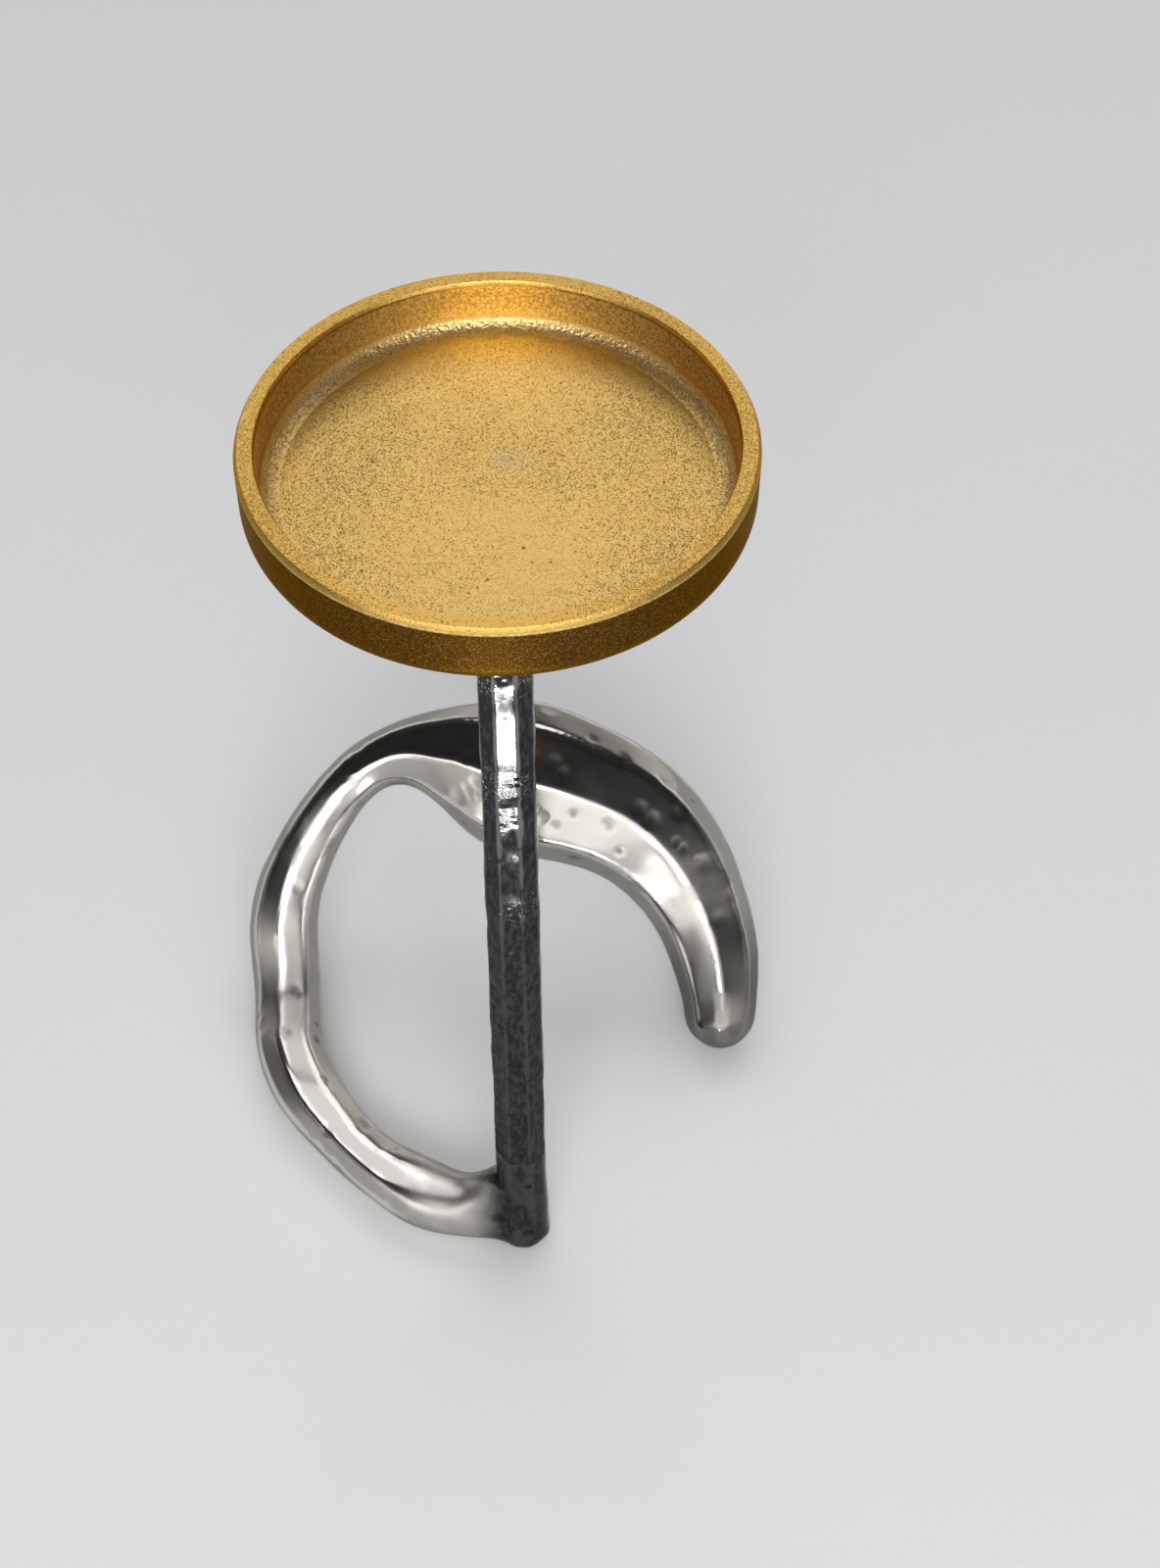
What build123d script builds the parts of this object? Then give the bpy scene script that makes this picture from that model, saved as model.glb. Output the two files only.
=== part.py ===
from build123d import *
from math import atan2, cos, degrees, pi, sin
import os

# Candle plate: a shallow round dish on an upright faceted stem, which stands on a cast loop.
# Millimetres. The origin is on the table under the stem, +Z is up. The loop leaves the stem to
# the left (-X), goes round the back (+Y) and ends on the right (+X).

# Dish
dish_diameter = 100.0
dish_height = 15.0
rim_width = 4.0
dish_floor = 4.0
lower_edge_radius = 5.0
well_corner_radius = 3.0
rim_edge_radius = 0.8
boss_diameter = 19.0
boss_height = 4.0

# Stud that is fixed in the dish and screws into the stem, and the washer under the boss
stud_diameter = 6.0
stud_seat_depth = 5.5
stud_reach = 16.0
stud_end_gap = 3.0
stud_chamfer = 0.8
thread_clearance = 0.05
washer_thickness = 1.0
washer_diameter = 10.5
washer_clearance = 0.06

# Stem: softened facets, a little thicker towards the heel
stem_length = 237.0
stem_width_top = 11.4
stem_width_bottom = 13.6
facet_count = 8
facet_edge_radius = 1.0

# Heel of the loop, under the stem, and the elbow that rounds the corner between heel and bar
heel_height = 48.0
heel_width_bottom = 16.0
elbow_drop = 10.0
elbow_inset = 1.0
elbow_sections = 4

# Screw that holds the stem to the heel from below, with its spring washer
screw_diameter = 5.0
screw_grip_in_stem = 14.0
screw_end_gap = 3.0
screw_head_diameter = 8.5
screw_head_height = 5.0
screw_socket_width = 4.0
screw_socket_depth = 2.5
screw_recess_depth = 11.0
screw_recess_clearance = 0.4
spring_washer_diameter = 8.6
spring_washer_thickness = 1.3
spring_washer_split = 1.0

# Loop: reach of its centre line from the stem, the height of its crown, and its sections
loop_left = 74.5
loop_right = 57.0
loop_back = 123.0
crown_height = 70.0
front_width = 19.0
left_width = 21.0
back_width = 17.5
crown_width = 44.0
crown_thickness = 29.0
tail_width = 22.0

# Felt pads under the three places where the casting meets the table
pad_thickness = 1.2
heel_pad_diameter = 13.0
loop_pad_diameter = 8.5
flat_depth = 1.5

# Heights and places that follow from the sizes above
stem_foot = pad_thickness + heel_height
stem_top = stem_foot + stem_length
dish_seat = stem_top + washer_thickness
dish_underside = dish_seat + boss_height
dish_top = dish_underside + dish_height
recess_roof = pad_thickness + screw_recess_depth
screw_seat = recess_roof - spring_washer_thickness
left_rest = (-0.97 * loop_left, 0.52 * loop_back)
tail_rest = (1.03 * loop_right, 0.54 * loop_back)


def rod(diameter, bottom, top):
    """Upright cylinder on the stem's axis between two heights."""
    return extrude(Pos(0, 0, bottom) * Circle(diameter / 2), top - bottom)


def ring(outer_diameter, inner_diameter, bottom, thickness):
    """Flat ring on the stem's axis."""
    face = Circle(outer_diameter / 2) - Circle(inner_diameter / 2)
    return extrude(Pos(0, 0, bottom) * face, thickness)


def octagon(width, height):
    """Faceted section of the stem with one flat to the front, measured across the flats."""
    section = RegularPolygon(width / 2, facet_count, major_radius=False, rotation=180 / facet_count)
    return Pos(0, 0, height) * fillet(section.vertices(), facet_edge_radius)


def dish():
    """Round cast dish with a flat rim, a rounded lower edge and a boss for the stud."""
    body = rod(dish_diameter, dish_underside, dish_top)
    body = fillet(body.edges().sort_by(Axis.Z)[0], lower_edge_radius)
    well = rod(dish_diameter - 2 * rim_width, dish_underside + dish_floor, dish_top + dish_floor)
    body -= fillet(well.edges().sort_by(Axis.Z)[0], well_corner_radius)
    body = fillet(body.edges().group_by(Axis.Z)[-1], rim_edge_radius)
    body += rod(boss_diameter, dish_seat, dish_underside)
    return body - rod(stud_diameter, dish_seat, dish_seat + stud_seat_depth)


def dish_stud():
    """Steel stud, fixed in the dish's boss, that turns down into the stem."""
    stud = rod(stud_diameter, stem_top - stud_reach, dish_seat + stud_seat_depth)
    return chamfer(stud.edges().sort_by(Axis.Z)[0], stud_chamfer)


def dish_washer():
    """Thin fibre washer between the stem's top and the dish's boss."""
    return ring(washer_diameter, stud_diameter + 2 * washer_clearance, stem_top, washer_thickness)


def stem():
    """Upright faceted stem with a tapped hole in each end."""
    body = loft([octagon(stem_width_bottom, stem_foot), octagon(stem_width_top, stem_top)])
    body -= rod(stud_diameter + 2 * thread_clearance, stem_top - stud_reach - stud_end_gap, stem_top)
    screw_hole_top = stem_foot + screw_grip_in_stem + screw_end_gap
    return body - rod(screw_diameter + 2 * thread_clearance, stem_foot, screw_hole_top)


def rest_height(thickness):
    """Height of the loop's centre line where its ground flat lies on a pad."""
    return pad_thickness - flat_depth + thickness / 2


def tapered(share):
    """Width and thickness of the bar at a share of the way from the crown to its free end."""
    return tuple(size + share * (tail_width - size) for size in (crown_width, crown_thickness))


def loop_stations():
    """Places along the loop, each with its point, width and thickness.

    The loop leaves the heel to the left, lies on the table as far as the left pad, climbs over
    the back, where it swells into a broad crown, and comes down on the right to its free end.
    """
    front = rest_height(front_width)
    left = rest_height(left_width)
    tail = rest_height(tail_width)
    swell_width = (back_width + crown_width) / 2
    swell_thickness = (back_width + crown_thickness) / 2
    return [
        ((-0.03 * loop_left, 0, front), front_width, front_width),
        ((-0.26 * loop_left, 0.02 * loop_back, front), front_width, front_width),
        ((-0.52 * loop_left, 0.10 * loop_back, front), front_width, front_width),
        ((-0.76 * loop_left, 0.24 * loop_back, front), front_width, front_width),
        ((-0.91 * loop_left, 0.38 * loop_back, left), left_width, left_width),
        ((*left_rest, left), left_width, left_width),
        ((-0.99 * loop_left, 0.65 * loop_back, 0.24 * crown_height), left_width, left_width),
        ((-0.99 * loop_left, 0.75 * loop_back, 0.42 * crown_height), left_width, left_width),
        ((-0.85 * loop_left, 0.89 * loop_back, 0.70 * crown_height), back_width, back_width),
        ((-0.57 * loop_left, 0.99 * loop_back, 0.95 * crown_height), back_width, back_width),
        ((-0.31 * loop_left, 0.97 * loop_back, 1.00 * crown_height), swell_width, swell_thickness),
        ((-0.09 * loop_left, 0.92 * loop_back, 1.00 * crown_height), *tapered(0.0)),
        ((0.21 * loop_right, 0.89 * loop_back, 0.95 * crown_height), *tapered(0.02)),
        ((0.57 * loop_right, 0.85 * loop_back, 0.82 * crown_height), *tapered(0.24)),
        ((0.82 * loop_right, 0.78 * loop_back, 0.62 * crown_height), *tapered(0.50)),
        ((0.97 * loop_right, 0.68 * loop_back, 0.41 * crown_height), *tapered(0.72)),
        ((1.02 * loop_right, 0.60 * loop_back, 0.27 * crown_height), *tapered(0.88)),
        ((*tail_rest, tail), *tapered(1.0)),
    ]


def loop_section(point, tangent, width, thickness):
    """Oval section across the loop; its broad side faces the front and up."""
    facing = Vector(0, -1, 1)
    across = facing.cross(tangent).normalized()
    plane = Plane(origin=point, x_dir=across, z_dir=tangent)
    return plane * Ellipse(width / 2, thickness / 2)


def round_end(point, outward, diameter, taper):
    """Cap of a ball that closes an end of the bar and carries on its taper, in radians."""
    radius = diameter / 2 / cos(taper)
    ball = Sphere(radius, degrees(taper), 90, align=(Align.CENTER, Align.CENTER, Align.MIN))
    return Plane(origin=point, z_dir=outward) * ball


def loop_bar():
    """The loop's rounded bar from the heel to its free end."""
    stations = loop_stations()
    spine = Spline([point for point, _, _ in stations])
    tangents = [spine.tangent_at(spine.param_at_point(point)) for point, _, _ in stations]
    sections = []
    for (point, width, thickness), tangent in zip(stations, tangents):
        sections.append(loop_section(point, tangent, width, thickness))
    bar = loft(sections)
    bar += round_end(stations[0][0], -tangents[0], front_width, 0)
    (ankle, ankle_width, _), (end, _, _) = stations[-2:]
    taper = atan2((ankle_width - tail_width) / 2, (Vector(*end) - Vector(*ankle)).length)
    return bar + round_end(end, tangents[-1], tail_width, taper)


def elbow():
    """Bend on the inside of the corner, where the line of the stem turns into the bar."""
    up = Vector(0, 0, 1)
    first, second = (Vector(*point) for point, _, _ in loop_stations()[:2])
    heading = (second - first).normalized()
    bend = stem_foot - elbow_drop - first.Z
    sections = []
    for step in range(elbow_sections):
        share = step / (elbow_sections - 1)
        turn = share * pi / 2
        centre = heading * bend * (1 - sin(turn)) + up * (first.Z + bend * (1 - cos(turn)))
        plane = Plane(origin=centre, x_dir=heading.cross(up), z_dir=up * sin(turn) - heading * cos(turn))
        width = front_width + share * (stem_width_bottom - front_width) - 2 * elbow_inset
        sections.append(plane * Circle(width / 2))
    return loft(sections)


def loop():
    """Cast loop with its heel, ground flat for the pads and recessed for the screw."""
    heel = loft([octagon(heel_width_bottom, 0), octagon(stem_width_bottom, stem_foot)])
    body = loop_bar() + heel + elbow()
    below = 4 * (loop_left + loop_right + loop_back)
    body -= Pos(0, 0, pad_thickness - below / 2) * Box(below, below, below)
    body -= rod(screw_head_diameter + 2 * screw_recess_clearance, 0, recess_roof)
    return body - rod(screw_diameter + 2 * thread_clearance, 0, 2 * stem_foot)


def heel_screw():
    """Socket-head screw that comes up through the heel into the stem."""
    head_bottom = screw_seat - screw_head_height
    screw = rod(screw_head_diameter, head_bottom, screw_seat)
    screw += rod(screw_diameter, screw_seat, stem_foot + screw_grip_in_stem)
    socket = RegularPolygon(screw_socket_width / 2, 6, major_radius=False)
    return screw - extrude(Pos(0, 0, head_bottom) * socket, screw_socket_depth)


def heel_washer():
    """Split spring washer between the screw's head and the roof of the recess."""
    inner = screw_diameter + 2 * washer_clearance
    washer = ring(spring_washer_diameter, inner, screw_seat, spring_washer_thickness)
    reach = spring_washer_diameter
    return washer - Pos(reach / 2, 0, screw_seat) * Box(reach, spring_washer_split, reach)


def pad(diameter, place):
    """Round felt pad on the table."""
    return Pos(*place, 0) * rod(diameter, 0, pad_thickness)


os.makedirs("parts", exist_ok=True)
pieces = {
    "dish": dish(),
    "dish_stud": dish_stud(),
    "dish_washer": dish_washer(),
    "stem": stem(),
    "loop": loop(),
    "heel_screw": heel_screw(),
    "heel_washer": heel_washer(),
    "heel_pad": pad(heel_pad_diameter, (0, 0)),
    "left_pad": pad(loop_pad_diameter, left_rest),
    "tail_pad": pad(loop_pad_diameter, tail_rest),
}
for name, shape in pieces.items():
    export_step(shape, f"parts/{name}.step")
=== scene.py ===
from math import atan2, cos, pi, radians, sin

import bpy
import numpy as np
from mathutils import Matrix, Vector


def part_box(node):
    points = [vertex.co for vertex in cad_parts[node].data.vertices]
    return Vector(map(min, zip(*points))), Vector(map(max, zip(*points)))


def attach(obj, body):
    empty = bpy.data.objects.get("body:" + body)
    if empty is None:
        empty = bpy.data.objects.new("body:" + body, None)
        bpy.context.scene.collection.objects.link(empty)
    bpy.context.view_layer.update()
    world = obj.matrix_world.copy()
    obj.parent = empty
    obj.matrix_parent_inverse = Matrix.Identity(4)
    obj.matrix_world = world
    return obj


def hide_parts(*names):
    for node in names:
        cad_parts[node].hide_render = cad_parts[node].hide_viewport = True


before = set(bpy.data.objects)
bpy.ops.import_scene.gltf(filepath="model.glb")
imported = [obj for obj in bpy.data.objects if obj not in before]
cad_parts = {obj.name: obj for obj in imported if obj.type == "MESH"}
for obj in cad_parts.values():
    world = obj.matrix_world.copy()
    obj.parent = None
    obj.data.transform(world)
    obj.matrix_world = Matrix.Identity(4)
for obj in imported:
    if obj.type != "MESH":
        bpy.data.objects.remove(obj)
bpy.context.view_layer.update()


# Felt pads: three punched discs of black wool felt, glued under the heel, under the left side of the
# loop and under its free end, so that the metal doesn't scratch what it stands on.
def feed(tree, socket, value):
    """Gives an input a fixed value, or links it to the output socket that feeds it."""
    if isinstance(value, bpy.types.NodeSocket):
        tree.links.new(value, socket)
    else:
        socket.default_value = value


def add(tree, kind, inputs=None, **settings):
    """A shader node; each input is a value, or the output socket that feeds it."""
    made = tree.nodes.new("ShaderNode" + kind)
    for name, value in settings.items():
        setattr(made, name, value)
    for name, value in (inputs or {}).items():
        feed(tree, made.inputs[name], value)
    return made


def tint(tree, mask, below, above):
    """A colour that goes from below to above with the mask."""
    made = add(tree, "Mix", {"Factor": mask}, data_type="RGBA")
    for socket, colour in ((made.inputs[6], below), (made.inputs[7], above)):
        feed(tree, socket, (*colour, 1.0) if isinstance(colour, tuple) else colour)
    return made.outputs[2]


def noise(tree, place, scale, detail=2.0, roughness=0.5):
    """A cloudy value about 0.5."""
    inputs = {"Vector": place, "Scale": scale, "Detail": detail, "Roughness": roughness}
    return add(tree, "TexNoise", inputs).outputs["Fac"]


def new_finish(name):
    """An empty material with its shader, its tree and the object's own coordinates."""
    finish = bpy.data.materials.new(name)
    finish.use_nodes = True
    tree = finish.node_tree
    return finish, tree, tree.nodes["Principled BSDF"], add(tree, "TexCoord").outputs["Object"]


def felt_finish():
    """Black felt: matted fibres, soft and without gloss."""
    finish, tree, shader, place = new_finish("black_felt")
    fibres = noise(tree, place, 2600.0, 6.0, 0.7)
    black = tint(tree, fibres, (0.006, 0.006, 0.007), (0.05, 0.05, 0.052))
    feed(tree, shader.inputs["Base Color"], black)
    feed(tree, shader.inputs["Roughness"], 0.95)
    feed(tree, shader.inputs["Sheen Weight"], 0.3)
    nap = add(tree, "Bump", {"Height": fibres, "Strength": 0.8, "Distance": 0.0003})
    feed(tree, shader.inputs["Normal"], nap.outputs["Normal"])
    return finish


def cylinder(name, sides, radius, bottom, top, x=0, y=0):
    """A new upright cylinder between two heights."""
    bpy.ops.object.select_all(action="DESELECT")
    bpy.ops.mesh.primitive_cylinder_add(
        vertices=sides, radius=radius, depth=top - bottom, location=(x, y, (bottom + top) / 2))
    made = bpy.context.object
    made.name = name
    bpy.ops.object.transform_apply(location=True, rotation=True, scale=True)
    return made


felt = felt_finish()
pad_edge = 0.00025
for pad_node in ("heel_pad", "left_pad", "tail_pad"):
    low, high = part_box(pad_node)
    middle = (low + high) / 2
    pad = cylinder("felt_" + pad_node, 64, (high.x - low.x) / 2, low.z, high.z, middle.x, middle.y)
    bpy.ops.object.mode_set(mode="EDIT")
    bpy.ops.mesh.select_all(action="SELECT")
    bpy.ops.mesh.bevel(offset=pad_edge, segments=3, affect="EDGES")
    bpy.ops.object.mode_set(mode="OBJECT")
    bpy.ops.object.shade_smooth_by_angle(angle=radians(40))
    pad.data.materials.append(felt)
    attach(pad, "base")
    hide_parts(pad_node)


# Loop: one bar of sand-cast aluminium with a nickel look, from its heel under the stem round the left and
# the back to its free end. It has eight soft flats like the stem's, and it was hammered before it was
# polished, so the hollows stayed darker.
def pick(piece):
    """Only this piece is selected, and it is active."""
    bpy.ops.object.select_all(action="DESELECT")
    piece.select_set(True)
    bpy.context.view_layer.objects.active = piece


def copy_of(node, name):
    """A new piece with the shape of a solid, its triangles joined up."""
    piece = bpy.data.objects.new(name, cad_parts[node].data.copy())
    bpy.context.scene.collection.objects.link(piece)
    piece.data.materials.clear()
    pick(piece)
    bpy.ops.object.mode_set(mode="EDIT")
    bpy.ops.mesh.select_all(action="SELECT")
    bpy.ops.mesh.remove_doubles(threshold=1e-6)
    bpy.ops.object.mode_set(mode="OBJECT")
    bpy.ops.mesh.customdata_custom_splitnormals_clear()
    return piece


def finish_with(piece, kind, **settings):
    """A modifier, applied at once."""
    pick(piece)
    made = piece.modifiers.new(kind.lower(), kind)
    for name, value in settings.items():
        setattr(made, name, value)
    bpy.ops.object.modifier_apply(modifier=made.name)


def cast_skin(piece, grain):
    """An even skin of small faces, as large as grain, without sharp corners."""
    pick(piece)
    piece.data.remesh_voxel_size = grain
    piece.data.use_remesh_preserve_attributes = False
    bpy.ops.object.voxel_remesh()
    finish_with(piece, "SMOOTH", factor=0.5, iterations=3)


def rows_of(piece, what):
    """The places (co) or the directions (normal) of the piece's points, as rows of three numbers."""
    flat = np.zeros(len(piece.data.vertices) * 3)
    piece.data.vertices.foreach_get(what, flat)
    return flat.reshape(-1, 3)


def move_to(piece, places):
    """Puts the piece's points in new places."""
    piece.data.vertices.foreach_set("co", places.ravel())
    piece.data.update()


def near(piece, centre, reach):
    """Weights that are 1 about centre and fade out to reach."""
    steepness = 1.6
    far = np.linalg.norm(rows_of(piece, "co") - np.array(centre), axis=1)
    return np.clip(steepness * (1 - far / reach), 0, 1)


def at_joint(piece, reach):
    """Weights that are 1 where the stem stands on the heel and fade out over reach."""
    fade_end = 1.3
    return np.clip(fade_end - abs(rows_of(piece, "co")[:, 2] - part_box("stem")[0].z) / reach, 0, 1)


def away_from_stem(piece, start, span):
    """Weights that rise from 0 to 1 over a span, from a start beside the stem's axis outwards."""
    return np.clip((np.linalg.norm(rows_of(piece, "co")[:, :2], axis=1) - start) / span, 0, 1)


def weigh(piece, weights):
    """A vertex group with these weights, one for each point."""
    group = piece.vertex_groups.new(name="weights")
    for index in np.nonzero(weights)[0]:
        group.add([int(index)], float(weights[index]), "REPLACE")
    return group.name


def ease(piece, weights, rounds):
    """Smooths a piece where the weights say so."""
    finish_with(piece, "SMOOTH", factor=0.5, iterations=rounds, vertex_group=weigh(piece, weights))
    piece.vertex_groups.clear()


def wave(piece, width, depth, weights):
    """Uneven swells of a width, up to depth high, where the weights say so."""
    swells = bpy.data.textures.new(piece.name + "_swells", "CLOUDS")
    swells.noise_scale = width
    swells.noise_depth = 0
    finish_with(piece, "DISPLACE", texture=swells, texture_coords="LOCAL", strength=depth, mid_level=0.5,
                vertex_group=weigh(piece, weights))
    piece.vertex_groups.clear()


def hammer(piece, blows, narrowest, widest, weights, seed):
    """Round hammer marks strewn over a piece where the weights say so; wide ones are deeper."""
    depth_to_radius = 0.06
    draw = np.random.default_rng(seed)
    spots = rows_of(piece, "co")
    facing = rows_of(piece, "normal")
    sunk = np.zeros(len(spots))
    for _ in range(blows):
        centre = spots[draw.integers(len(spots))]
        reach = draw.uniform(narrowest, widest) / 2
        far = np.linalg.norm(spots - centre, axis=1) / reach
        sunk = np.maximum(sunk, depth_to_radius * reach * np.clip(1 - far ** 2, 0, 1) ** 2)
    spots -= facing * (sunk * weights)[:, None]
    move_to(piece, spots)


def bar_line():
    """Points close together along the middle of the loop's bar, from the heel to its free end."""
    left, right, back, high = 0.0745, 0.057, 0.123, 0.070
    front_rest, left_rest, tail_rest = 0.0092, 0.0102, 0.0107
    stations = [
        (-0.03 * left, 0, front_rest), (-0.26 * left, 0.02 * back, front_rest),
        (-0.52 * left, 0.10 * back, front_rest), (-0.76 * left, 0.24 * back, front_rest),
        (-0.91 * left, 0.38 * back, left_rest), (-0.97 * left, 0.52 * back, left_rest),
        (-0.99 * left, 0.65 * back, 0.24 * high), (-0.99 * left, 0.75 * back, 0.42 * high),
        (-0.85 * left, 0.89 * back, 0.70 * high), (-0.57 * left, 0.99 * back, 0.95 * high),
        (-0.31 * left, 0.97 * back, high), (-0.09 * left, 0.92 * back, high),
        (0.21 * right, 0.89 * back, 0.95 * high), (0.57 * right, 0.85 * back, 0.82 * high),
        (0.82 * right, 0.78 * back, 0.62 * high), (0.97 * right, 0.68 * back, 0.41 * high),
        (1.02 * right, 0.60 * back, 0.27 * high), (1.03 * right, 0.54 * back, tail_rest)]
    line = bpy.data.curves.new("bar_line", "CURVE")
    line.dimensions = "3D"
    line.resolution_u = 20
    run = line.splines.new("BEZIER")
    run.bezier_points.add(len(stations) - 1)
    for knot, station in zip(run.bezier_points, stations):
        knot.co = station
        knot.handle_left_type = knot.handle_right_type = "AUTO"
    holder = bpy.data.objects.new("bar_line", line)
    bpy.context.scene.collection.objects.link(holder)
    bpy.context.view_layer.update()
    thread = bpy.data.meshes.new_from_object(holder)
    places = np.array([point.co for point in thread.vertices])
    bpy.data.objects.remove(holder)
    bpy.data.curves.remove(line)
    bpy.data.meshes.remove(thread)
    return places


def unit(arrows):
    """The same directions at length one."""
    return arrows / np.maximum(np.linalg.norm(arrows, axis=1, keepdims=True), 1e-9)


def forge_flats(piece, line, turn, depth, weights):
    """Eight soft flats along a round bar.

    One of them lies a turn inwards from the side that faces front and up. The bar's size is measured along
    its line, but not close to the stem, where the heel is in the way.
    """
    flat_angle = pi / 4
    front_and_up = np.array((0, -0.7071, 0.7071))
    heel_reach = 0.042
    batches = 60
    spots = rows_of(piece, "co")
    nearest = np.concatenate([np.argmin(np.linalg.norm(batch[:, None] - line[None], axis=2), axis=1)
                              for batch in np.array_split(spots, batches)])
    along = unit(np.gradient(line, axis=0))
    facing = unit(front_and_up - along * (along @ front_and_up)[:, None])
    inward = np.cross(along, facing)
    out = spots - line[nearest]
    out -= along[nearest] * np.sum(out * along[nearest], axis=1, keepdims=True)
    over = np.sum(out * facing[nearest], axis=1)
    beside = np.sum(out * inward[nearest], axis=1)
    thick, wide = np.full(len(line), 1e-6), np.full(len(line), 1e-6)
    np.maximum.at(thick, nearest, np.abs(over))
    np.maximum.at(wide, nearest, np.abs(beside))
    clear = int(np.argmax(np.linalg.norm(line[:, :2], axis=1) > heel_reach))
    thick[:clear], wide[:clear] = thick[clear], wide[clear]
    angle = np.arctan2(beside / wide[nearest], over / thick[nearest])
    off_flat = np.mod(angle - turn + flat_angle / 2, flat_angle) - flat_angle / 2
    growth = (1 - depth) / np.cos(off_flat) - 1
    spots += out * (growth * weights)[:, None]
    move_to(piece, spots)


def measure_relief(piece, rounds, depth):
    """Stores how far each point stands above or below the smooth form, as an attribute from 0 to 1."""
    joint_relief = 0.45
    smooth = piece.copy()
    smooth.data = piece.data.copy()
    bpy.context.scene.collection.objects.link(smooth)
    finish_with(smooth, "SMOOTH", factor=0.5, iterations=rounds)
    rise = np.sum((rows_of(piece, "co") - rows_of(smooth, "co")) * rows_of(smooth, "normal"), axis=1)
    bpy.data.objects.remove(smooth)
    joint = at_joint(piece, reach=0.002)
    rise = np.clip(0.5 + rise / (2 * depth), 0, 1) * (1 - joint) + joint_relief * joint
    relief = piece.data.attributes.new("relief", "FLOAT", "POINT")
    relief.data.foreach_set("value", rise.astype(np.float32))


def ramp(tree, value, low, high):
    """A mask that runs from 0 where value is low to 1 where it is high."""
    made = add(tree, "MapRange", {"Value": value, "From Min": low, "From Max": high})
    made.interpolation_type = "SMOOTHSTEP"
    return made.outputs["Result"]


def spread(tree, value, low, high, to_low, to_high):
    """A value from low to high, moved to lie from to_low to to_high."""
    inputs = {"Value": value, "From Min": low, "From Max": high, "To Min": to_low, "To Max": to_high}
    return add(tree, "MapRange", inputs).outputs["Result"]


def combine(tree, first, second, operation="ADD"):
    """Two values added, or combined by another operation."""
    return add(tree, "Math", {0: first, 1: second}, operation=operation).outputs[0]


def times(tree, first, second):
    """Two values multiplied."""
    return combine(tree, first, second, "MULTIPLY")


def band(tree, value, rise, fall):
    """A mask that goes up to 1 over the span of rise and down again over the span of fall."""
    return times(tree, ramp(tree, value, *rise), ramp(tree, value, *fall))


def distance(tree, place, centre):
    """How far a place is from a centre."""
    return add(tree, "VectorMath", {0: place, 1: centre}, operation="DISTANCE").outputs["Value"]


def from_axis(tree, place):
    """A place's three coordinates, the place as seen from above, and its distance from the stem's axis."""
    parts = add(tree, "SeparateXYZ", {"Vector": place}).outputs
    flat = add(tree, "CombineXYZ", {"X": parts["X"], "Y": parts["Y"]}).outputs["Vector"]
    return parts, flat, add(tree, "VectorMath", {0: flat}, operation="LENGTH").outputs["Value"]


def pit_group():
    """Node group: round pits strewn at random. Share is the part of the cells that hold a pit."""
    group = bpy.data.node_groups.new("casting_pits", "ShaderNodeTree")
    group.interface.new_socket("Vector", in_out="INPUT", socket_type="NodeSocketVector")
    for name in ("Scale", "Share", "Size"):
        group.interface.new_socket(name, in_out="INPUT", socket_type="NodeSocketFloat")
    group.interface.new_socket("Mask", in_out="OUTPUT", socket_type="NodeSocketFloat")
    entry = group.nodes.new("NodeGroupInput").outputs
    cells = add(group, "TexVoronoi", {"Vector": entry["Vector"], "Scale": entry["Scale"]}).outputs
    draw = add(group, "SeparateColor", {"Color": cells["Color"]}).outputs
    width = times(group, entry["Size"], combine(group, draw["Green"], 0.5))
    core = times(group, width, 0.45)
    dot = ramp(group, cells["Distance"], width, core)
    chosen = combine(group, draw["Red"], entry["Share"], "LESS_THAN")
    feed(group, group.nodes.new("NodeGroupOutput").inputs["Mask"], times(group, dot, chosen))
    return group


casting_pits = pit_group()


def pits(tree, place, scale, share, size):
    """A mask of pits in a material."""
    inputs = {"Vector": place, "Scale": scale, "Share": share, "Size": size}
    return add(tree, "Group", inputs, node_tree=casting_pits).outputs["Mask"]


def metal_tones(tree, worn, hollow, face, crest):
    """A metal's colour from its dark hollows over its faces to its rubbed crests."""
    colour = tint(tree, ramp(tree, worn, 0.18, 0.45), hollow, face)
    return tint(tree, ramp(tree, worn, 0.70, 0.98), colour, crest)


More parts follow.
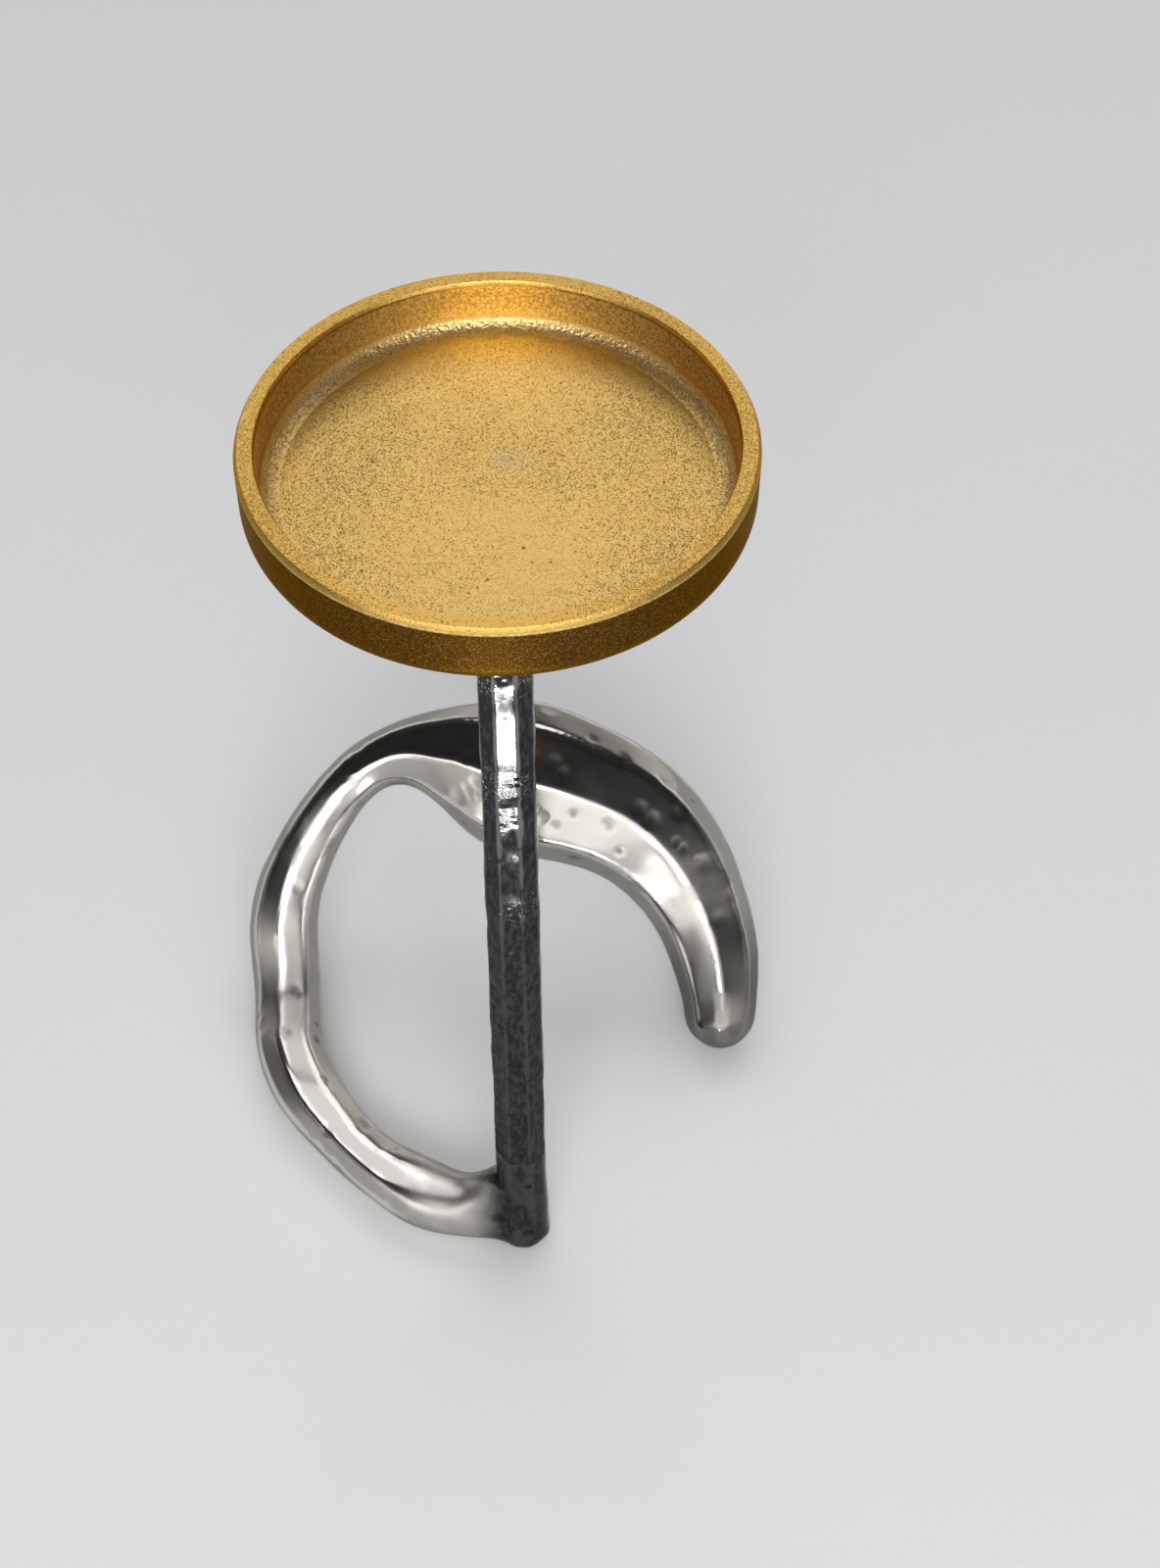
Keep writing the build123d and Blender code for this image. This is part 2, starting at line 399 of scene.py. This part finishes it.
def silver_finish():
    """Polished nickel look, dull inside the loop's two tight bends and darkened at its free end by painted
    shade.

    The stem and the heel are painted dark, as painted shade and dark reflection on the same metal as the
    loop. Their edges are rubbed lighter, painted lighter higher up and darker lower down as painted shade,
    and higher up there are rough patches with painted glints.
    """
    free_end = (0.0587, 0.0664, 0.011)
    tight_bends = (((-0.018, 0.002, 0.016), 0.020), ((-0.071, 0.068, 0.018), 0.022))
    finish, tree, shader, place = new_finish("polished_silver")
    parts, _, out = from_axis(tree, place)
    # Where the stem and the heel are: their dark colour below is painted shade and dark reflection.
    above_bar = ramp(tree, parts["Z"], 0.034, 0.050)
    right_of_bar = ramp(tree, parts["X"], -0.016, -0.004)
    upright = combine(tree, above_bar, right_of_bar, "MAXIMUM")
    upright = times(tree, upright, ramp(tree, out, 0.030, 0.022))
    relief = add(tree, "Attribute", attribute_name="relief").outputs["Fac"]
    cloud = noise(tree, place, 130.0, 3.0)
    worn = combine(tree, relief, times(tree, combine(tree, cloud, -0.5), 0.5))
    polished = metal_tones(tree, worn, (0.22, 0.21, 0.19), (0.43, 0.415, 0.385), (0.66, 0.64, 0.59))
    # Darker near the free end, where it rests on the floor: painted shade.
    painted_free_end_shade = times(tree, ramp(tree, distance(tree, place, free_end), 0.042, 0.014), 0.72)
    polished = tint(tree, painted_free_end_shade, polished, (0.085, 0.083, 0.078))
    # Stem crests lighter higher up and darker lower down: painted shade.
    edges = tint(tree, ramp(tree, parts["Z"], 0.13, 0.21), (0.085, 0.083, 0.080), (0.24, 0.235, 0.225))
    slant = add(tree, "Mapping", {"Vector": place, "Rotation": (0.5, 0.6, 0.0), "Scale": (1.0, 1.0, 0.4)})
    streaks = ramp(tree, noise(tree, slant.outputs["Vector"], 760.0, 3.0, 0.6), 0.40, 0.68)
    # The stem's dark faces with streaks: painted shade and dark reflection.
    face = tint(tree, streaks, (0.030, 0.030, 0.031), (0.074, 0.074, 0.076))
    dark = metal_tones(tree, worn, (0.013, 0.012, 0.011), face, edges)
    colour = tint(tree, upright, polished, dark)
    grains = noise(tree, place, 1500.0)
    cast_spots = ramp(tree, noise(tree, place, 75.0), 0.50, 0.62)
    patches = times(tree, cast_spots, ramp(tree, out, 0.0095, 0.0085))
    rubbed = band(tree, parts["Z"], (0.208, 0.216), (0.242, 0.234))
    patches = times(tree, patches, combine(tree, 1.0, rubbed, "SUBTRACT"))
    patches = times(tree, patches, ramp(tree, parts["Z"], 0.14, 0.19))
    # Bright specks in the upper rough patches: painted glints.
    painted_glints = times(tree, patches, ramp(tree, grains, 0.60, 0.68))
    colour = tint(tree, painted_glints, colour, (0.74, 0.70, 0.64))
    holes = pits(tree, place, 520.0, times(tree, patches, 0.40), 0.36)
    colour = tint(tree, holes, colour, (0.016, 0.014, 0.013))
    feed(tree, shader.inputs["Base Color"], colour)
    feed(tree, shader.inputs["Metallic"], 1.0)
    feed(tree, shader.inputs["Specular Tint"], (0.6, 0.6, 0.6, 1.0))
    rough = spread(tree, worn, 0.2, 0.8, 0.26, 0.16)
    rough = combine(tree, rough, times(tree, upright, 0.08), "SUBTRACT")
    for inside_of_bend, reach in tight_bends:
        dull = ramp(tree, distance(tree, place, inside_of_bend), reach, reach / 2)
        rough = combine(tree, rough, times(tree, dull, 0.16))
    feed(tree, shader.inputs["Roughness"], rough)
    height = combine(tree, times(tree, grains, patches), holes, "SUBTRACT")
    fine = add(tree, "Bump", {"Height": height, "Strength": 0.6, "Distance": 0.00016})
    feed(tree, shader.inputs["Normal"], fine.outputs["Normal"])
    return finish


silver = silver_finish()
loop = copy_of("loop", "silver_loop")
loop_grain = 0.00068
elbow, elbow_end, elbow_side = (-0.013, 0.001, 0.022), (-0.024, 0.003, 0.018), (-0.020, 0.002, 0.012)
heel_front = (0, -0.008, 0.008)
left_bend = (-0.073, 0.072, 0.014)
plain_places = (
    ((-0.020, 0.001, 0.020), 0.024), ((-0.076, 0.086, 0.028), 0.024), ((0.060, 0.072, 0.020), 0.032))
ground_flat, flat_fade = 0.002, 0.003
cast_skin(loop, loop_grain)
ease(loop, away_from_stem(loop, start=0.014, span=0.010), rounds=30)
ease(loop, near(loop, elbow, reach=0.034), rounds=110)
ease(loop, near(loop, heel_front, reach=0.012), rounds=40)
ease(loop, near(loop, left_bend, reach=0.036), rounds=90)
cast_skin(loop, loop_grain)
free_of_joint = 1 - at_joint(loop, reach=0.006)
above_flat = np.clip((rows_of(loop, "co")[:, 2] - ground_flat) / flat_fade, 0, 1)
past_elbow = away_from_stem(loop, start=0.018, span=0.022)
forge_flats(loop, bar_line(), turn=radians(22), depth=0.045, weights=past_elbow * above_flat)
ease(loop, away_from_stem(loop, start=0.014, span=0.010), rounds=26)
ease(loop, near(loop, elbow_end, reach=0.020), rounds=60)
wave(loop, width=0.015, depth=0.0005, weights=free_of_joint)
struck = free_of_joint.copy()
for plain_place, plain_reach in plain_places:
    struck *= 1 - near(loop, plain_place, plain_reach)
hammer(loop, blows=210, narrowest=0.0035, widest=0.0085, weights=struck, seed=4)
ease(loop, near(loop, elbow_side, reach=0.022), rounds=90)
measure_relief(loop, rounds=40, depth=0.00016)
pick(loop)
bpy.ops.object.shade_smooth()
loop.data.materials.append(silver)
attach(loop, "base")
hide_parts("loop")


# Heel screw and its spring washer: plain zinc-plated steel, bought in. The head and the washer are sunk in
# the heel's recess, and the screw's shank comes up through the heel into the stem.
def steel_finish():
    """Plain plated steel with turning marks round its axis."""
    finish, tree, shader, place = new_finish("plain_steel")
    stretched = add(tree, "Mapping", {"Vector": place, "Scale": (1.0, 1.0, 9.0)}).outputs["Vector"]
    marks = noise(tree, stretched, 900.0, 4.0)
    feed(tree, shader.inputs["Base Color"], tint(tree, marks, (0.34, 0.34, 0.35), (0.60, 0.60, 0.61)))
    feed(tree, shader.inputs["Metallic"], 1.0)
    feed(tree, shader.inputs["Roughness"], spread(tree, marks, 0.0, 1.0, 0.25, 0.45))
    return finish


steel = steel_finish()
for screw_node in ("heel_screw", "heel_washer"):
    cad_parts[screw_node].material_slots[0].material = steel


# Stem: a straight cast bar with eight soft facets, of the same metal as the loop and hammered like it.
# It is tapped in both ends, stands on the heel and carries the dish.
stem_lap = 0.001
stem = copy_of("stem", "silver_stem")
stem_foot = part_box("stem")[0].z
for point in stem.data.vertices:
    if point.co.z < stem_foot + 1e-5:
        point.co.z -= stem_lap
cast_skin(stem, grain=0.00042)
rubbed_place, rubbed_size = np.array((0, -0.006, 0.224)), (0.006, 0.004, 0.012)
off_rubbed = np.linalg.norm((rows_of(stem, "co") - rubbed_place) / rubbed_size, axis=1)
kept_even = 0.9 * np.clip(1.5 - off_rubbed, 0, 1)
uneven = (1 - at_joint(stem, reach=0.006)) * (1 - kept_even)
wave(stem, width=0.0085, depth=0.00045, weights=uneven)
hammer(stem, blows=520, narrowest=0.0012, widest=0.0040, weights=uneven, seed=9)
measure_relief(stem, rounds=50, depth=0.00018)
pick(stem)
bpy.ops.object.shade_smooth()
stem.data.materials.append(silver)
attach(stem, "base")
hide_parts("stem")


# Dish washer: a thin ring punched from brown fibre sheet, loose between the stem's top and the dish. It
# keeps the boss from grinding on the stem when the dish is screwed down.
def fibre_finish():
    """Pressed brown fibre."""
    finish, tree, shader, place = new_finish("brown_fibre")
    fibres = noise(tree, place, 1800.0, 5.0)
    feed(tree, shader.inputs["Base Color"], tint(tree, fibres, (0.12, 0.035, 0.02), (0.30, 0.10, 0.06)))
    feed(tree, shader.inputs["Roughness"], 0.8)
    return finish


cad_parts["dish_washer"].material_slots[0].material = fibre_finish()


# Dish stud: a steel stud with a rolled metric thread. Its upper end is fixed in the dish's boss, and its
# lower end screws into the stem.
def select_edges(piece, test):
    """In edit mode: only the edges whose two ends pass the test are selected."""
    bpy.ops.mesh.select_mode(type="EDGE")
    bpy.ops.mesh.select_all(action="DESELECT")
    bpy.ops.object.mode_set(mode="OBJECT")
    for line in piece.data.edges:
        first, second = (piece.data.vertices[index].co for index in line.vertices)
        line.select = test(first, second)
    bpy.ops.object.mode_set(mode="EDIT")


stud_low, stud_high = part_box("dish_stud")
stud_middle = (stud_low + stud_high) / 2
stud_radius = (stud_high.x - stud_low.x) / 2
thread_pitch = 0.001
thread_depth = 0.00055
thread_chamfer = 0.0008
thread_rows = 180
stud = cylinder("threaded_stud", 64, stud_radius, stud_low.z, stud_high.z, stud_middle.x, stud_middle.y)
bpy.ops.object.mode_set(mode="EDIT")
select_edges(stud, lambda first, second: abs(first.z - second.z) > 1e-4)
bpy.ops.mesh.subdivide(number_cuts=thread_rows)
bpy.ops.object.mode_set(mode="OBJECT")
for point in stud.data.vertices:
    height = point.co.z - stud_low.z
    phase = (height / thread_pitch - atan2(point.co.y, point.co.x) / (2 * pi)) % 1.0
    cut = thread_depth * abs(2 * phase - 1)
    cut = max(cut, thread_chamfer - height)
    shrink = 1 - min(cut, thread_chamfer) / stud_radius
    point.co.x *= shrink
    point.co.y *= shrink
bpy.ops.object.shade_smooth_by_angle(angle=radians(50))
stud.data.materials.append(steel)
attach(stud, "dish")
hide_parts("dish_stud")


# Dish: a shallow round plate of sand-cast aluminium with a gold finish. The rim is turned flat, the floor
# keeps the pits of the casting, and the plating is worn in the corner, where a paler band towards the back
# is painted highlight, and worn to grey over the stud.
def select_faces(piece, test):
    """In edit mode: only the faces whose normal passes the test are selected."""
    bpy.ops.mesh.select_mode(type="FACE")
    bpy.ops.mesh.select_all(action="DESELECT")
    bpy.ops.object.mode_set(mode="OBJECT")
    for face in piece.data.polygons:
        face.select = test(face.normal)
    bpy.ops.object.mode_set(mode="EDIT")


def pull(height):
    """In edit mode: extrudes the selected faces by a height."""
    bpy.ops.mesh.extrude_region_move(TRANSFORM_OT_translate={"value": (0, 0, height)})


def circle_at(radius, height):
    """A test for the edges of a circle round the stem's axis."""
    def on_circle(end):
        return abs(end.xy.length - radius) < 2e-5 and abs(end.z - height) < 2e-5
    return lambda first, second: on_circle(first) and on_circle(second)


def bevel_circle(piece, radius, height, offset, segments):
    """In edit mode: rounds or chamfers a piece along a circle round the stem's axis."""
    select_edges(piece, circle_at(radius, height))
    bpy.ops.mesh.bevel(offset=offset, segments=segments, affect="EDGES")


def up_a_wall(first, second):
    """A test for the upright edges of the dish's walls."""
    return (first.xy - second.xy).length < 1e-6 and abs(first.z - second.z) > 0.004


dish_low, dish_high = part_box("dish")
dish_radius = (dish_high.x - dish_low.x) / 2
rim_width = 0.004
well_radius = dish_radius - rim_width
well_corner = 0.003
floor_edge, floor_ring, floor_rings = 0.0032, 0.0016, 26
lower_corner = 0.005
underside_edge, underside_rings = 0.0052, 14
boss_height = 0.004
boss_radius = 0.0095
boss_inset = 0.0008
boss_corner = 0.0005
floor_thickness = 0.004
dish_bottom = dish_low.z + boss_height
dish_floor = dish_bottom + floor_thickness
dish = cylinder("gold_dish", 192, dish_radius, dish_bottom, dish_high.z)
bpy.ops.object.mode_set(mode="EDIT")
select_faces(dish, lambda normal: normal.z > 0.5)
bpy.ops.mesh.inset(thickness=rim_width)
pull(dish_floor - dish_high.z)
bpy.ops.mesh.inset(thickness=floor_edge)
for _ in range(floor_rings):
    bpy.ops.mesh.inset(thickness=floor_ring)
select_faces(dish, lambda normal: normal.z < -0.5)
bpy.ops.mesh.inset(thickness=underside_edge)
for _ in range(underside_rings):
    bpy.ops.mesh.inset(thickness=(dish_radius - underside_edge - boss_radius) / underside_rings)
pull(-boss_height)
bpy.ops.mesh.inset(thickness=boss_inset)
bpy.ops.mesh.inset(thickness=boss_radius - boss_inset - stud_radius)
pull(stud_high.z - dish_low.z)
bevel_circle(dish, dish_radius, dish_bottom, lower_corner, segments=10)
bevel_circle(dish, well_radius, dish_floor, well_corner, segments=8)
for rim_radius, chamfer, narrow in ((dish_radius, 0.0012, 0.0007), (well_radius, -0.0007, -0.0004)):
    bevel_circle(dish, rim_radius, dish_high.z, abs(chamfer), segments=1)
    select_edges(dish, circle_at(rim_radius - chamfer, dish_high.z))
    widen = (rim_radius - narrow) / (rim_radius - chamfer)
    bpy.ops.transform.resize(value=(widen, widen, 1), center_override=(0, 0, dish_high.z))
bevel_circle(dish, boss_radius, dish_low.z, boss_corner, segments=3)
select_edges(dish, up_a_wall)
bpy.ops.mesh.subdivide(number_cuts=7)
bpy.ops.object.mode_set(mode="OBJECT")
bpy.ops.object.shade_smooth_by_angle(angle=radians(35))


def gold_finish():
    """Gold finish on a casting, with one look for each zone: floor, inner wall, rim and outer wall. The
    outer wall and the underside are dark brown as painted shade.
    """
    grey_spot = (0.002, 0.005, 0.0)
    finish, tree, shader, place = new_finish("gold_dish")
    parts, flat, out = from_axis(tree, place)
    fine = noise(tree, place, 2600.0, 3.0, 0.6)
    drift = noise(tree, place, 38.0)
    side = ramp(tree, combine(tree, parts["X"], 0.0, "ABSOLUTE"), 0.006, 0.036)
    share = combine(tree, times(tree, side, 0.45), times(tree, combine(tree, drift, -0.34), 1.5))
    to_spot = distance(tree, flat, grey_spot)
    share = combine(tree, share, times(tree, ramp(tree, to_spot, 0.016, 0.006), 0.28))
    specks = pits(tree, place, 3500.0, share, 0.47)
    dots = pits(tree, place, 600.0, 0.14, 0.18)
    floor = tint(tree, drift, (0.70, 0.465, 0.145), (0.78, 0.53, 0.18))
    floor = tint(tree, times(tree, ramp(tree, fine, 0.44, 0.68), 0.45), floor, (0.40, 0.255, 0.085))
    floor = tint(tree, times(tree, specks, 0.62), floor, (0.24, 0.15, 0.055))
    floor = tint(tree, times(tree, dots, 0.7), floor, (0.16, 0.09, 0.03))
    streak_place = add(tree, "Mapping", {"Vector": place, "Scale": (0.10, 1.0, 1.0)}).outputs["Vector"]
    streaks = ramp(tree, noise(tree, streak_place, 1300.0), 0.52, 0.70)
    brushed = times(tree, ramp(tree, parts["Y"], -0.012, -0.030), streaks)
    floor = tint(tree, times(tree, brushed, 0.35), floor, (0.40, 0.26, 0.09))
    # The corner band grows towards the back: wear with dark specks, and a paler band at the back that is
    # painted highlight.
    corner = band(tree, out, (0.0416, 0.0440), (0.0462, 0.0450))
    corner = times(tree, corner, ramp(tree, combine(tree, fine, drift), 0.84, 1.08))
    corner = times(tree, corner, ramp(tree, parts["Y"], -0.06, 0.03))
    wear_and_painted_highlight = tint(tree, specks, (0.94, 0.71, 0.34), (0.28, 0.185, 0.075))
    floor = tint(tree, corner, floor, wear_and_painted_highlight)
    # A dark line in the corner at the front: painted shade.
    painted_crease_shade = band(tree, out, (0.0424, 0.0428), (0.0434, 0.0430))
    painted_crease_shade = times(tree, painted_crease_shade, ramp(tree, parts["Y"], -0.036, -0.040))
    painted_crease_shade = times(tree, painted_crease_shade, ramp(tree, noise(tree, place, 140.0), 0.40, 0.56))
    floor = tint(tree, times(tree, painted_crease_shade, 0.7), floor, (0.20, 0.125, 0.04))
    middle = times(tree, ramp(tree, to_spot, 0.0062, 0.0020), ramp(tree, fine, 0.36, 0.58))
    floor = tint(tree, times(tree, middle, 0.55), floor, (0.47, 0.37, 0.24))
    wall = ramp(tree, parts["Z"], dish_floor + 0.0022, dish_floor + 0.0036)
    # The inner wall's gold is paler than the floor's: grain, and painted light.
    wall_grain_and_painted_light = ramp(tree, noise(tree, place, 1700.0, 3.0, 0.6), 0.36, 0.64)
    colour = tint(tree, wall, floor, tint(tree, wall_grain_and_painted_light, (0.58, 0.37, 0.09), (1.0, 0.79, 0.34)))
    rim = ramp(tree, parts["Z"], dish_high.z - 0.0016, dish_high.z - 0.0008)
    rim_specks = pits(tree, place, 2100.0, combine(tree, drift, -0.05), 0.40)
    rim_gold = tint(tree, times(tree, rim_specks, 0.55), (0.53, 0.33, 0.085), (0.24, 0.15, 0.05))
    colour = tint(tree, rim, colour, rim_gold)
    # The outer wall and the underside are dark brown with grain: painted shade.
    below_rim = ramp(tree, parts["Z"], dish_high.z - 0.0012, dish_high.z - 0.0017)
    outside_painted_shade = times(tree, ramp(tree, out, 0.0470, 0.0490), below_rim)
    below_floor = ramp(tree, parts["Z"], dish_floor - 0.0005, dish_floor - 0.0015)
    outside_painted_shade = combine(tree, outside_painted_shade, below_floor, "MAXIMUM")
    grain = tint(tree, ramp(tree, fine, 0.48, 0.66), (0.066, 0.031, 0.007), (0.21, 0.107, 0.025))
    colour = tint(tree, outside_painted_shade, colour, grain)
    feed(tree, shader.inputs["Base Color"], colour)
    feed(tree, shader.inputs["Metallic"], 1.0)
    feed(tree, shader.inputs["Specular Tint"], (0.85, 0.62, 0.35, 1.0))
    rough = spread(tree, fine, 0.3, 0.7, 0.32, 0.44)
    rough = combine(tree, rough, times(tree, ramp(tree, out, 0.0420, 0.0450), 0.06))
    rough = combine(tree, rough, times(tree, rim, 0.24), "SUBTRACT")
    feed(tree, shader.inputs["Roughness"], rough)
    height = combine(tree, times(tree, fine, 0.7), combine(tree, specks, dots, "MAXIMUM"), "SUBTRACT")
    cove = band(tree, out, (0.0420, 0.0434), (0.0462, 0.0452))
    coarse = times(tree, noise(tree, place, 1100.0), 6.0)
    height = combine(tree, height, times(tree, cove, coarse))
    skin = add(tree, "Bump", {"Height": height, "Strength": 0.45, "Distance": 0.00014})
    feed(tree, shader.inputs["Normal"], skin.outputs["Normal"])
    return finish


dish.data.materials.append(gold_finish())
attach(dish, "dish")
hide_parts("dish")


# Floor: a plain pale studio floor, matt and far larger than the view. Its top is at height zero, where the
# pads lie on it.
bpy.ops.object.select_all(action="DESELECT")
bpy.ops.mesh.primitive_plane_add(size=8.0, location=(0, 0, 0))
studio_floor = bpy.context.object
studio_floor.name = "studio_floor"
paint = bpy.data.materials.new("pale_floor")
paint.use_nodes = True
paint_shader = paint.node_tree.nodes["Principled BSDF"]
paint_shader.inputs["Base Color"].default_value = (0.80, 0.805, 0.81, 1)
paint_shader.inputs["Roughness"].default_value = 0.9
studio_floor.data.materials.append(paint)


# Light: soft boxes behind, in front and on the front right, a low wide strip in front and a dim fill from
# above. A small strip and a card close to the metal give it its sharp reflections. The horizon is pale
# under a darker ceiling.
def soft_box(name, place, target, width, length, power):
    """A soft area light that points at target."""
    lamp = bpy.data.lights.new(name, "AREA")
    lamp.shape = "RECTANGLE"
    lamp.size = width
    lamp.size_y = length
    lamp.energy = power
    holder = bpy.data.objects.new(name, lamp)
    bpy.context.scene.collection.objects.link(holder)
    holder.location = place
    holder.rotation_euler = (Vector(target) - Vector(place)).to_track_quat("-Z", "Y").to_euler()
    holder.visible_camera = False
    return holder


soft_box("back_box", (0.05, 0.85, 1.25), target=(0, 0, 0.25), width=1.3, length=0.8, power=4.6)
soft_box("front_box", (0.0, -1.15, 0.95), target=(0, 0, 0.3), width=0.8, length=0.5, power=9.0)
soft_box("right_box", (0.59, -1.2, 0.89), target=(0, 0, 0.1), width=0.6, length=0.6, power=1.2)
soft_box("front_strip", (0.0, -1.35, 0.36), target=(0, 0, 0.2), width=3.2, length=0.6, power=8.0)
soft_box(
    "low_strip", (-0.009, -0.192, 0.004), target=(-0.009, -0.15, 0.5), width=0.06, length=0.026, power=0.24)
left_card = soft_box(
    "left_card", (-0.08, 0.0225, 0.12), target=(-0.079, 0.0225, 0), width=0.09, length=0.145, power=0.066)
left_card.visible_diffuse = False
fill_box = soft_box("fill_box", (0, 0, 3.0), target=(0, 0, 0), width=6.0, length=6.0, power=64.0)
fill_box.visible_glossy = False
world = bpy.data.worlds.new("studio")
world.use_nodes = True
sky = world.node_tree
towards = add(sky, "TexCoord").outputs["Generated"]
sides = add(sky, "SeparateXYZ", {"Vector": towards}).outputs
ceiling = tint(sky, ramp(sky, sides["Y"], -0.35, -0.75), (0.025, 0.025, 0.026), (0.17, 0.17, 0.17))
to_side = ramp(sky, combine(sky, sides["X"], 0.0, "ABSOLUTE"), 0.80, 0.97)
horizon = tint(sky, to_side, (0.92, 0.90, 0.86), (0.20, 0.195, 0.19))
sky_colour = tint(sky, ramp(sky, sides["Z"], 0.12, 0.46), horizon, ceiling)
feed(sky, sky.nodes["Background"].inputs["Color"], sky_colour)
feed(sky, sky.nodes["Background"].inputs["Strength"], 1.0)
bpy.context.scene.world = world


# Camera: the photograph's viewpoint, above the dish and in front of it, with a slight roll, on a 54 mm
# lens.
camera_place = Vector((0.01587, -0.33245, 0.60864))
camera_pitch = radians(50.67)
camera_roll = radians(-0.28)
level = Vector((1, 0, 0))
forward = Vector((0, cos(camera_pitch), -sin(camera_pitch)))
downward = Vector((0, -sin(camera_pitch), -cos(camera_pitch)))
across = cos(camera_roll) * level + sin(camera_roll) * downward
down = -sin(camera_roll) * level + cos(camera_roll) * downward
camera_data = bpy.data.cameras.new("photo_camera")
camera_data.sensor_fit = "AUTO"
camera_data.sensor_width = 36.0
camera_data.lens = 54.0
camera_data.clip_start = 0.01
camera = bpy.data.objects.new("photo_camera", camera_data)
bpy.context.scene.collection.objects.link(camera)
turn = Matrix((across, -down, -forward)).transposed().to_4x4()
camera.matrix_world = Matrix.Translation(camera_place) @ turn
bpy.context.scene.camera = camera
bpy.context.scene.view_settings.view_transform = "Standard"

bpy.context.view_layer.update()
